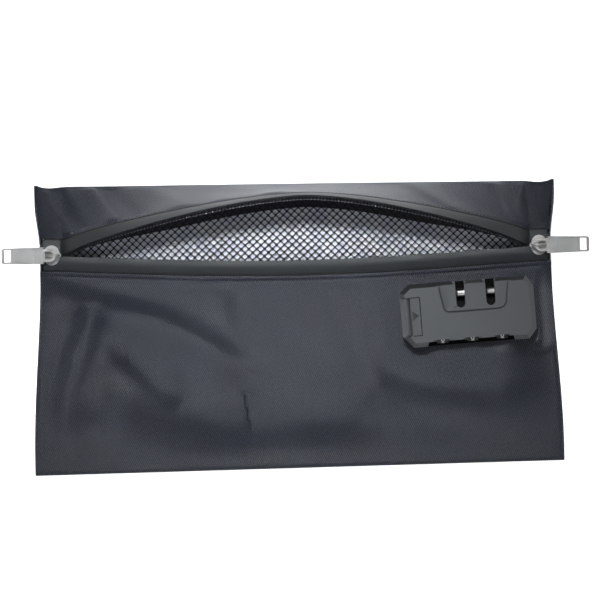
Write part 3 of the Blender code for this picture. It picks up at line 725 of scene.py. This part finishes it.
def make_linings():
    def back(u, v):
        s = 2 * u - 1
        y = (-70 + (137 - 8 * smooth((abs(s) - 0.7) / 0.2)) * v) * MM
        x = s * (half_width(y) - 2.2 * MM)
        wave = 0.35 * crumple(x / MM, y / MM, 0.06, 1.3) + 0.2 * crumple(x / MM, y / MM, 0.16, 5.2)
        return np.stack([x, y, 1.15 * MM + (wave + 0.1) * 0.6 * MM], -1)

    flat = (0.27, 0.137)
    sheet = cloth("back_lining_cloth", 150, 80, back, flat, 0.2 * MM)
    own(sheet, LINING, replaces=["back_lining"])

    def front(u, v):
        s = 2 * u - 1
        y_high = lip_y(s * WAIST) - TAPE_W - 2 * MM
        y = -55 * MM + (y_high + 55 * MM) * v
        x = s * (half_width(y) - 14 * MM)
        z = panel_z(x, y)
        drop = 1.35 * MM * np.clip((z - 3.5 * MM) / (6.1 * MM), 0, 1)
        dent = np.minimum(front_waves(x, y, z), 0) * MM
        return np.stack([x, y, z - PANEL_T - 0.3 * MM - drop + dent], -1)

    flat = (0.252, 0.086)
    sheet = cloth("front_lining_cloth", 60, 30, front, flat, 0.2 * MM)
    own(sheet, LINING, replaces=["front_lining"])


def make_facing():
    """A strip of dark cloth along the top of the lining, behind the net, following the lip: a painted shadow
    of the lip.
    """

    def shape(u, v):
        x = (2 * u - 1) * 124 * MM
        lip = flap_surface(x, lip_reach(x))[:, 1]
        low = lip - (1.2 + 4.6 * smooth((124 * MM - abs(x)) / (70 * MM))) * MM
        high = (69 - 10 * smooth((abs(x) / MM - 88) / 30)) * MM
        return np.stack([x, low + (high - low) * v, np.full_like(x, 1.95 * MM)], -1)

    flat = (0.248, 0.0155)
    facing = cloth("top_facing", 120, 6, shape, flat, 0.25 * MM)
    own(facing, NYLON)


NET_X = 131 * MM
NET_LOW, NET_HIGH = 14 * MM, 68 * MM
CELL = (4.1 * MM, 3.9 * MM)


def net_z(x, y):
    """The net hangs slack over the lining."""
    ripple = 0.35 * np.sin(x / (17 * MM) + 1.2) * np.sin(y / (11 * MM))
    ripple = ripple + 0.2 * np.sin(x / (7 * MM) - y / (9 * MM))
    return 2.75 * MM + ripple * MM


def net_point(x, y, lift=0.0):
    x = x + 0.35 * MM * np.sin(y / (6 * MM) + x / (23 * MM))
    return np.stack(np.broadcast_arrays(x, y, net_z(x, y) + lift), -1)


def net_top(x):
    return NET_HIGH - 11 * MM * smooth((abs(x) / MM - 92) / 26)


def make_net():
    wide, high = CELL
    rows = math.ceil((NET_HIGH - NET_LOW) / high)
    tall, run = rows * high, rows * wide
    paths = []
    for number in range(int((2 * NET_X + run) / wide) + 1):
        for sign, start in ((1, -NET_X - run), (-1, -NET_X)):
            t = np.linspace(0, 1, 3 * rows)
            x, y = start + number * wide + sign * run * t, NET_LOW + tall * t
            inside = (abs(x) < NET_X) & (y < net_top(x))
            if inside.sum() > 1:
                paths.append(net_point(x[inside], y[inside], sign * 0.1 * MM))
    own(tube("net_threads", paths, 0.27 * MM, sides=6), NET, replaces=["mesh_pocket"])
    knots = []
    for row in range(1, 2 * rows - 1):
        for column in range(int(2 * NET_X / wide)):
            x, y = -NET_X + (column + 0.5 * (row % 2)) * wide, NET_LOW + row * high / 2
            if y < net_top(x):
                knots.append(Matrix.Translation(net_point(np.float64(x), np.float64(y))))
    deselect()
    bpy.ops.mesh.primitive_ico_sphere_add(subdivisions=1, radius=0.7 * MM)
    knot = keep_active("knot")
    knot.data.transform(Matrix.Diagonal((0.9, 1.1, 0.5, 1)))
    own(repeat("net_knots", knot, knots), NET)


# ---------- zipper ----------


def spaced_x(count, inner=1.0):
    """Places along the zipper, closer near the sliders."""
    t = np.linspace(0, 1, count + 1)
    return -ZIP_END * inner * np.cos(np.pi * t)


def make_tapes():
    def lower(u, v):
        x = -ZIP_END * np.cos(np.pi * u)
        y = lip_y(x) - LIP_GAP - (TAPE_W - LIP_GAP) * (1 - v)
        z = ZIP_Z + 0.35 * MM - 0.3 * MM * (1 - v) + 0.4 * MM * np.sin(np.pi * v)
        return np.stack([x, y, z], -1)

    def upper(u, v):
        x = -ZIP_END * np.cos(np.pi * u)
        reach = lip_reach(x) - TAPE_W * v
        return flap_point(x, reach, -0.2 * MM * np.sin(np.pi * v))

    tape = cloth("lower_tape", 150, 10, lower, (0.267, 0.0074), TAPE_T)
    own(tape, TAPE, replaces=["zip_tape_lower"])
    tape = cloth("upper_tape", 170, 10, upper, (0.272, 0.0078), TAPE_T, offset=0)
    own_flap(tape, TAPE, replaces=["zip_tape_upper"])


def make_strip():
    def shape(u, v):
        x = -(ZIP_END + 1.2 * MM) * np.cos(np.pi * u)
        end = lip_reach(x) - TAPE_W - 0.3 * MM
        reach = end + (0.25 * MM - end) * v
        x = x + np.sign(x) * TOP_FLARE * smooth((abs(x) - 112 * MM) / (22 * MM)) * smooth((v - 0.3) / 0.6)
        folds = fold_height(x / MM, v * 26, STRIP_FOLDS) + 0.7 * crumple(x / MM, v * 26, 0.05, 9.4)
        held = smooth(v / 0.12) * smooth((1 - v) / 0.1)
        lift = (folds * held * MM)[:, None]
        outward = flap_surface(x, reach) - flap_point(x, reach, MM)
        flat_end = smooth((abs(x) - 104 * MM) / (14 * MM))[:, None]
        outward = outward / MM * (1 - flat_end) + np.array([0.0, 0.0, 1.0]) * flat_end
        point = flap_surface(x, reach) + lift * outward
        point[:, 1] += ear(x) * smooth((v - 0.8) / 0.2)
        return point

    flat = (0.27, 0.0315)
    strip = cloth("top_strip_cloth", 300, 48, shape, flat, PANEL_T, offset=0)
    own_flap(strip, NYLON, replaces=["top_strip"])


def make_fold_roll():
    """The rounded top fold, where the back turns into the strip."""
    x = np.linspace(-136.8, 136.8, 120) * MM
    path = np.stack([x, top_y(x) + ear(x) - 0.75 * MM, np.full_like(x, 0.95 * MM)], -1)
    own(tube("top_fold_roll", [path], 0.85 * MM, sides=10), NYLON)


def make_seams():
    """Near-black cords where each tape is sewn to the cloth: painted shade in the gap between tape and cloth.
    """
    x = spaced_x(160, 0.995)
    low = np.stack([x, lip_y(x) - TAPE_W - 0.35 * MM, np.full_like(x, ZIP_Z)], -1)
    own(tube("lower_seam", [low], 0.6 * MM, sides=8), SEAM_SHADE)
    high = flap_point(x, lip_reach(x) - TAPE_W - 0.25 * MM, -0.1 * MM)
    own_flap(tube("upper_seam", [high], 0.55 * MM, sides=8), SEAM_SHADE)


def coil_tooth():
    """One loop of the coil: a squashed ring across the tape."""
    deselect()
    bpy.ops.mesh.primitive_torus_add(
        major_segments=10, minor_segments=6, major_radius=0.62 * MM, minor_radius=0.3 * MM)
    tooth = keep_active("tooth")
    tooth.data.transform(Matrix.Rotation(math.pi / 2, 4, "Y") @ Matrix.Diagonal((1.0, 1.5, 1, 1)))
    return tooth


def path_places(points, ups, pitch):
    """Placements at even spacing along a path."""
    steps = np.linalg.norm(np.diff(points, axis=0), axis=1)
    total = np.concatenate([[0], np.cumsum(steps)])
    places = []
    for distance in np.arange(pitch / 2, total[-1], pitch):
        here = [np.interp(distance, total, points[:, k]) for k in range(3)]
        ahead = [np.interp(distance + pitch / 4, total, points[:, k]) for k in range(3)]
        up = [np.interp(distance, total, ups[:, k]) for k in range(3)]
        if Vector(ahead) != Vector(here):
            places.append(frame_along(here, Vector(ahead) - Vector(here), up))
    return places


def make_coils():
    x = spaced_x(160, 0.985)
    drop = TAPE_T / 2 + 0.75 * MM
    low = np.stack([x, lip_y(x) - LIP_GAP - 0.75 * MM, np.full_like(x, ZIP_Z - drop)], -1)
    ups = np.tile([0.0, 0.0, 1.0], (len(x), 1))
    teeth = repeat("lower_teeth", coil_tooth(), path_places(low, ups, COIL_PITCH))
    own(teeth, COIL, replaces=["zip_coil_lower"])
    high = flap_point(x, lip_reach(x) - 0.45 * MM, drop)
    outer = flap_point(x, lip_reach(x) - 0.45 * MM, 0)
    ups = outer - high
    teeth = repeat("upper_teeth", coil_tooth(), path_places(high, ups, COIL_PITCH))
    own_flap(teeth, COIL, replaces=["zip_coil_upper"])
    # the light sewing loops along the upper coil: real thread, its lightness a painted highlight of the
    # coil's glints
    sewn = flap_point(x, lip_reach(x) - 0.1 * MM, drop + 0.85 * MM)
    loops = repeat("coil_sewing", stitch(), path_places(sewn, ups, COIL_PITCH))
    own_flap(loops, SEWING_GLINT)


def stitch():
    deselect()
    bpy.ops.mesh.primitive_ico_sphere_add(subdivisions=1, radius=0.6 * MM)
    made = keep_active("stitch")
    made.data.transform(Matrix.Diagonal((1, 0.42, 0.3, 1)))
    return made


def make_stitches():
    x = spaced_x(160, 0.985)
    y = lip_y(x) - TAPE_W - 3.3 * MM
    z = panel_z(x, y) - 0.2 * MM
    low = np.stack([x, y, z], -1)
    ups = np.tile([0.0, 0.0, 1.0], (len(x), 1))
    row = repeat("lower_stitches", stitch(), path_places(low, ups, STITCH_PITCH))
    own(row, STITCH)
    high = flap_point(x, lip_reach(x) - TAPE_W - 1.9 * MM, -0.38 * MM)
    inner = flap_point(x, lip_reach(x) - TAPE_W - 1.9 * MM, 0)
    row = repeat("upper_stitches", stitch(), path_places(high, high - inner, STITCH_PITCH))
    own_flap(row, STITCH)


# ---------- lock ----------


CASE_U, CASE_V, CASE_TOP = 35.4, 16.75, 12.2  # the lock's own measures, in mm in its own frame
SLOTS_U = (-3.45, 12.45)
SLOT_HALF = 2.35
SLOT_FLOOR = 2.46
PEG_V, PEG_Z = 10.0, 7.2
DIALS_U = (-14.55, 1.2, 16.95)
DIAL_V, DIAL_Z, DIAL_HALF = -10.8, 6.0, 2.9
WHEEL_R, WHEEL_CLEARANCE = 4.6, 0.25
NOTCH_OUT = 4.75  # how far the notches' centres lie from the wheel's axis
DIGITS = 10
DIGIT_STEP = 360 / DIGITS
NUMERAL_TURN = 43  # degrees from the top of the wheel to the numeral that shows


def lock_matrix():
    return Matrix.Translation(LOCK_PLACE) @ Matrix.Rotation(LOCK_TURN, 4, "Z")


def case_outline(inset):
    """The lock seen from above, with a different chamfer at each corner."""
    u, v, less = CASE_U - inset, CASE_V - inset, 0.59 * inset
    return [(-u, -v + 6.6 - less), (-u + 5.6 - less, -v), (u - 4.2 + less, -v), (u, -v + 5.0 - less),
            (u, v - 5.6 + less), (u - 3.8 + less, v), (-u + 5.0 - less, v), (-u, v - 4.2 + less)]


def slot_outline(u, half, floor):
    rounded = ellipse(half, half, u, floor + half, 180, 360, 14)
    return [(u - half, CASE_V + 3), *rounded, (u + half, CASE_V + 3)]


def make_case():
    case = chamfer_top(slab("lock_case_shell", case_outline(0), 1.5, CASE_TOP), CASE_TOP, 2.3)
    moat = [(-16.6, 18), (-14.2, 3.0), (-12.9, 0.7), (-10.7, -0.6),
            (17.7, -0.6), (20.0, 0.8), (21.6, 3.0), (24.2, 18)]
    combine(case, slab("moat", moat, CASE_TOP - 0.45, 20))
    raised = [(-15.6, 18), (-13.2, 3.2), (-12.2, 1.2), (-10.4, 0.2),
              (17.4, 0.2), (19.4, 1.2), (20.6, 3.2), (23.2, 18)]
    raised = chamfer_top(slab("raised_panel", raised, 10.4, CASE_TOP + 0.6), CASE_TOP + 0.6, 0.85)
    trim = block("trim", (-40, CASE_V - 2.4, 0), (40, 25, 20))
    combine(case, combine(raised, trim), "UNION")
    scoop = [(-23.6, -19), (-21.8, -14.4), (22.8, -14.4), (24.6, -19)]
    combine(case, slab("dial_scoop", scoop, -1, 20))
    combine(case, slab("cavity", case_outline(1.3), 0, 8.4))
    combine(case, slab("upper_cavity", case_outline(4.0), 8, 10.9))
    for u in SLOTS_U:
        well = (u - 3.15, SLOT_FLOOR - 0.9, 2.6), (u + 3.15, CASE_V - 0.2, 11.3)
        combine(case, block("well", *well), "UNION")
    for u in SLOTS_U:
        combine(case, slab("slot", slot_outline(u, SLOT_HALF, SLOT_FLOOR), 0, 20))
        way = (u + 1.9, PEG_V - 2, 0), (u + 3.6, PEG_V + 2, 9.3)
        combine(case, block("peg_way", *way))
        inner = u - SLOT_HALF + 0.3
        flare = [(inner - 2.9, CASE_V + 1), (inner, CASE_V + 1), (inner, CASE_V - 3.2)]
        combine(case, slab("slot_flare", flare, 10.0, 20))
    for u in DIALS_U:
        window = (u - DIAL_HALF - 0.35, -20, 0.7), (u + DIAL_HALF + 0.35, -13.5, 20)
        combine(case, block("dial_window", *window))
        ends = (u - 3.25, DIAL_V, DIAL_Z), (u + 3.25, DIAL_V, DIAL_Z)
        combine(case, rod("dial_clearance", *ends, WHEEL_R + WHEEL_CLEARANCE, 48))
        slope = rod("dial_relief", (u - 4.8, -15.3, 13.2), (u + 4.8, -15.3, 13.2), 2.0)
        combine(case, slope)
    combine(case, block("button_pocket", (-37, -10.8, 8.7), (-24.9, 9.8, 20)))
    soften(case, 0.28)
    own(case, LOCK_CASE, replaces=["lock_case"])
    case.data.materials.append(LOCK_SHADE_PLASTIC)
    case.data.materials.append(SLOT_SHADE)
    for face in case.data.polygons:
        u, v, z = face.center / MM
        in_slot = min(abs(u - slot) for slot in SLOTS_U) < SLOT_HALF + 0.2 and v > SLOT_FLOOR - 0.1
        # painted shade: faces deep in the slots and under the dial windows take near-black
        if z < CASE_TOP - 1.2 and (in_slot or v < -13 and abs(u) < 22):
            face.material_index = 2
        # painted shade: faces that point towards +Y (the top chamfer) take the darker plastic
        elif face.normal.y > 0.5:
            face.material_index = 1
    case.data.transform(lock_matrix())
    # painted shade: the whole base plate is near-black, so the slots read dark down to it
    base = soften(slab("lock_base", case_outline(0.25), 0, 1.2), 0.15)
    base.data.transform(lock_matrix())
    own(base, SLOT_SHADE, replaces=["lock_base_plate"])


def make_button():
    button = block("release_button", (-35.2, -10.4, 9.0), (-25.3, 9.4, 10.75))
    grip = rod("grip", (-32.6, -10.2, 10.2), (-32.6, 9.2, 10.2), 2.3, 40)
    combine(button, grip, "UNION")
    notch = [(-29.4, 2.6), (-29.4, -2.6), (-25.9, 0)]
    combine(button, slab("notch", notch, 10.0, 12))
    line = (-30.2, -11, 10.3), (-29.8, 11, 12)
    combine(button, block("line", *line))
    keep = block("keep", (-33.6, -10.4, 8.9), (-22.6, 9.4, 12.6))
    apply_modifier(button, "BOOLEAN", object=keep, operation="INTERSECT", solver="EXACT")
    bpy.data.objects.remove(keep)
    soften(button, 0.22)
    own(button, LOCK_CASE, "latch", replaces=["slide_button"])
    button.data.materials.append(LOCK_SHADE_PLASTIC)
    # painted shade: the arrow notch's floor, a recess, takes the darker plastic
    for face in button.data.polygons:
        u, v, z = face.center / MM
        if -29.9 < u < -25.5 and abs(v) < 2.8 and z < 10.6:
            face.material_index = 1
    button.data.transform(lock_matrix())


def make_hooks():
    """The near-black bar behind the slots, its darkness painted shade, and the bright pegs that hold the
    pulls.
    """
    outline = [(-31.5, -2), (18.6, -2), (18.6, 12.6), (-8, 12.6), (-14, 2), (-31.5, 2)]
    bar = slab("hook_bar", outline, 1.5, 2.3)
    combine(bar, block("stem", (-31, -2, 2.2), (-27, 2, 9.2)), "UNION")
    combine(bar, block("spring_tab", (17.6, 3.6, 2.0), (18.6, 8.4, 6.4)), "UNION")
    pegs = []
    for u in SLOTS_U:
        edge = u + SLOT_HALF + 1.2
        combine(bar, block("post", (edge, PEG_V - 1.5, 2.0), (edge + 1.2, PEG_V + 1.5, PEG_Z + 1.7)), "UNION")
        peg = block("peg", (u - 1.9, PEG_V - 1.5, PEG_Z - 1.7), (edge + 0.4, PEG_V + 1.5, PEG_Z + 1.7))
        pegs.append(soften(chamfer_top(peg, PEG_Z + 1.7, 0.5), 0.25))
    soften(bar, 0.15)
    deselect()
    for peg in pegs:
        peg.select_set(True)
    bpy.context.view_layer.objects.active = pegs[0]
    bpy.ops.object.join()
    pegs = keep_active("latch_pegs")
    for piece in (bar, pegs):
        piece.data.transform(lock_matrix())
    own(bar, STEEL_SHADE, "latch", replaces=["hook_plate"])
    own(pegs, STEEL, "latch")


def make_wheels():
    """Each wheel has a notch between its ten numerals."""
    for number, u in enumerate(DIALS_U, 1):
        ends = (u - DIAL_HALF, DIAL_V, DIAL_Z), (u + DIAL_HALF, DIAL_V, DIAL_Z)
        wheel = rod(f"thumbwheel_{number}", *ends, WHEEL_R, 60)
        bore = rod("bore", (u - 4, DIAL_V, DIAL_Z), (u + 4, DIAL_V, DIAL_Z), 3.4, 40)
        combine(wheel, bore)
        for notch in range(DIGITS):
            turn = math.radians(DIGIT_STEP * (notch + 0.5) + NUMERAL_TURN)
            y, z = DIAL_V - NOTCH_OUT * math.sin(turn), DIAL_Z + NOTCH_OUT * math.cos(turn)
            combine(wheel, rod("notch", (u - 4, y, z), (u + 4, y, z), 0.4, 10))
        soften(wheel, 0.12, 2)
        wheel.data.transform(lock_matrix())
        own(wheel, DIAL, f"dial_{number}", replaces=[f"dial_wheel_{number}"])


def make_numerals():
    """Ten raised numerals bent round each wheel."""
    for dial in (1, 2, 3):
        centre = Vector(JOINT[f"dial_{dial}_turn"]["pos_m"])
        pieces = []
        for digit in range(DIGITS):
            deselect()
            bpy.ops.object.text_add()
            text = bpy.context.active_object
            text.data.body = str(digit)
            text.data.align_x = text.data.align_y = "CENTER"
            text.data.size = 3.9 * MM
            text.data.offset = 0.07 * MM
            text.data.extrude = 0.05 * MM
            bpy.ops.object.convert(target="MESH")
            turn = Matrix.Rotation(math.radians(NUMERAL_TURN - DIGIT_STEP * digit), 4, "X")
            points = read_points(text)
            radius, angle = points[:, 2] + DIAL_R, points[:, 1] / DIAL_R
            points[:, 1], points[:, 2] = radius * np.sin(angle), radius * np.cos(angle)
            write_points(text, points)
            text.data.transform(Matrix.Translation(centre) @ Matrix.Rotation(LOCK_TURN, 4, "Z") @ turn)
            pieces.append(text)
        deselect()
        for piece in pieces:
            piece.select_set(True)
        bpy.context.view_layer.objects.active = pieces[0]
        bpy.ops.object.join()
        numerals = apply_place(keep_active(f"numerals_{dial}"))
        own(numerals, NUMERAL, f"dial_{dial}")


# ---------- sliders and pulls, in mm in a frame whose +X points out of the bag ----------


PLATE_TOP, PLATE_LOW = 10.75, 4.95
PIVOT = (1.2, 0, 14.45)
PULL_DROOP = math.radians(10)


def slider_matrix(side):
    x = side * 129 * MM
    turn = Matrix.Rotation(math.pi if side < 0 else 0, 4, "Z")
    return Matrix.Translation((x, float(lip_y(x)), 0)) @ turn


def pull_matrix(side):
    return slider_matrix(side) @ Matrix.Translation(Vector(PIVOT) * MM) @ Matrix.Rotation(PULL_DROOP, 4, "Y")


def make_slider(side, name):
    outline = ellipse(4.5, 5.3, steps=48)
    plate = chamfer_top(slab(f"slider_body_{name}", outline, PLATE_TOP - 1, PLATE_TOP), PLATE_TOP, 0.35)
    for y0, y1 in ((3.25, 9), (-9, -3.25)):
        combine(plate, block("rim", (-9, y0, PLATE_TOP - 0.36), (9, y1, 14)))
    nose = [(-4.9, -0.8), (-2, -1.5), (-2, 1.5), (-4.9, 0.8)]
    combine(plate, slab("nose", nose, PLATE_TOP - 0.9, PLATE_TOP - 0.05), "UNION")
    combine(plate, slab("under_plate", ellipse(4.2, 5.0, steps=48), PLATE_LOW, PLATE_LOW + 1), "UNION")
    combine(plate, block("post", (-4.3, -0.25, PLATE_LOW + 0.3), (-2.6, 0.25, PLATE_TOP - 0.3)), "UNION")
    soften(plate, 0.2)
    top = PLATE_TOP
    slant = PIVOT[0] + 3.7
    bail = [(-3.4, top - 0.4), (-3.4, top + 4.6), (-2.9, top + 5.6), (-2.1, top + 6), (-1.5, top + 6),
            (-0.6, top + slant + 0.6), (slant - 1.3, top + 1.3), (slant - 1.1, top + 0.6),
            (slant - 1.1, top - 0.4)]
    path = np.array([(x, 0.0, z) for x, z in bail]) * MM
    arch = tube("bail", [path], 0.65 * MM, sides=12)
    deselect()
    for piece in (arch, plate):
        piece.select_set(True)
    bpy.context.view_layer.objects.active = plate
    bpy.ops.object.join()
    # painted shade: the disc takes the darker nickel, and the bail above it the bright nickel
    own(plate, NICKEL_SHADE, f"slider_{name}", replaces=[f"slider_{name}"])
    plate.data.materials.append(NICKEL)
    for face in plate.data.polygons:
        if face.center.z > PLATE_TOP * MM + 0.05 * MM:
            face.material_index = 1
    plate.data.transform(slider_matrix(side))


def make_pull(side, name):
    root, tip = 3.0, 25.55
    tab = [(root, -4.45), (tip - 0.9, -4.05), (tip, -3.4), (tip, 3.4), (tip - 0.9, 4.05), (root, 4.45)]
    pull = slab(f"pull_tab_{name}", tab, -1.6, 1.6)
    points = read_points(pull)
    points[:, 2] *= 1 - 0.44 * (points[:, 0] / MM - root) / (tip - root)
    write_points(pull, points)
    combine(pull, block("dish", (12.0, -3.1, 1.0), (18.9, 3.1, 3)))
    loop = [(5, -4.2), (5, 4.2), (2.6, 3.3), *ellipse(3.3, 3.3, -0.3, 0, 90, 270, 20), (2.6, -3.3)]
    combine(pull, slab("loop", loop, -0.75, 0.75), "UNION")
    combine(pull, block("ridge", (8.9, -4.3, -1.7), (10.1, 4.3, 1.7)), "UNION")
    opening_outline = [(2.4, -2.1), (2.4, 2.1), *ellipse(2.0, 2.1, -0.3, 0, 90, 270, 16)]
    combine(pull, slab("opening", opening_outline, -3, 3))
    for y in (-2.9, 0.9):
        combine(pull, block("relief", (5.6, y, 0.7), (8.2, y + 2.0, 3)))
    combine(pull, block("window", (20.55, -3.2, -3), (24.25, 3.2, 3)))
    soften(pull, 0.3)
    pull.data.transform(pull_matrix(side))
    own(pull, NICKEL, f"pull_{name}", replaces=[f"pull_{name}"])


def finish_nodes():
    # painted shade: the dial shaft and case screws take the near-black steel, so they read as shade through
    # the gaps
    finishes = {
        "backing_plate": STEEL, "dial_shaft": STEEL_SHADE,
        "detent_spring": STEEL, "return_spring": STEEL,
    }
    for number in (1, 2, 3):
        finishes[f"dial_sleeve_{number}"] = STEEL
    for number in (1, 2, 3, 4):
        finishes[f"case_screw_{number}"] = STEEL_SHADE
    for node, material in finishes.items():
        paint(frame["nodes"][node], material)


# ---------- floor, lamps and camera ----------


FLOOR_SIZE = 6  # metres
FLOOR_GAP = 0.2 * MM
FLOOR_GLOW = 0.9
ROOM_LIGHT = 0.24
CAMERA_HEIGHT = 6.0
CAMERA_TURN = math.radians(-1.25)
VIEW_WIDTH = 0.318  # what the camera takes in, in metres
SENSOR = 36


def make_stage():
    deselect()
    bpy.ops.mesh.primitive_plane_add(size=FLOOR_SIZE, location=(0, 0, -FLOOR_GAP))
    floor = apply_place(keep_active("floor"))
    made = Finish("pale_floor", (0.92, 0.92, 0.92), 0.8)
    made.shader.inputs["Emission Color"].default_value = (1, 1, 1, 1)
    made.shader.inputs["Emission Strength"].default_value = FLOOR_GLOW
    paint(floor, made.material)
    world = bpy.data.worlds.new("room")
    bpy.context.scene.world = world
    world.use_nodes = True
    light = world.node_tree.nodes["Background"]
    light.inputs["Color"].default_value = (0.93, 0.96, 1.0, 1)
    light.inputs["Strength"].default_value = ROOM_LIGHT


def lamp(name, place, target, size, power, colour, spread):
    deselect()
    bpy.ops.object.light_add(type="AREA", location=place)
    light = bpy.context.active_object
    light.name = name
    light.data.shape = "RECTANGLE"
    light.data.size, light.data.size_y = size
    light.data.energy = power
    light.data.color = colour
    light.data.spread = math.radians(spread)
    light.rotation_euler = (Vector(target) - Vector(place)).to_track_quat("-Z", "Y").to_euler()


def make_lamps():
    lamp("key", (-0.03, 0.62, 1.5), (-0.01, 0.02, 0), (0.24, 0.2), 0.225, (0.93, 0.965, 1.0), 14)
    lamp("low_fill", (-0.35, -0.6, 1.35), (-0.05, 0.03, 0), (0.5, 0.4), 2.4, (0.93, 0.95, 1.0), 180)


def make_camera():
    deselect()
    bpy.ops.object.camera_add(location=(0.0019, 0.0137, CAMERA_HEIGHT), rotation=(0, 0, CAMERA_TURN))
    camera = bpy.context.active_object
    camera.data.sensor_width = SENSOR
    camera.data.lens = SENSOR * CAMERA_HEIGHT / VIEW_WIDTH
    camera.data.clip_end = 50
    bpy.context.scene.camera = camera
    bpy.context.scene.view_settings.view_transform = "Standard"


make_camera()
make_stage()
make_lamps()
make_back()
make_front()
make_gusset(-1, "left")
make_gusset(1, "right")
make_linings()
make_facing()
make_net()
make_tapes()
make_seams()
make_strip()
make_fold_roll()
make_coils()
make_stitches()
make_case()
make_button()
make_hooks()
make_wheels()
make_numerals()
for direction, end in ((-1, "left"), (1, "right")):
    make_slider(direction, end)
    make_pull(direction, end)
finish_nodes()
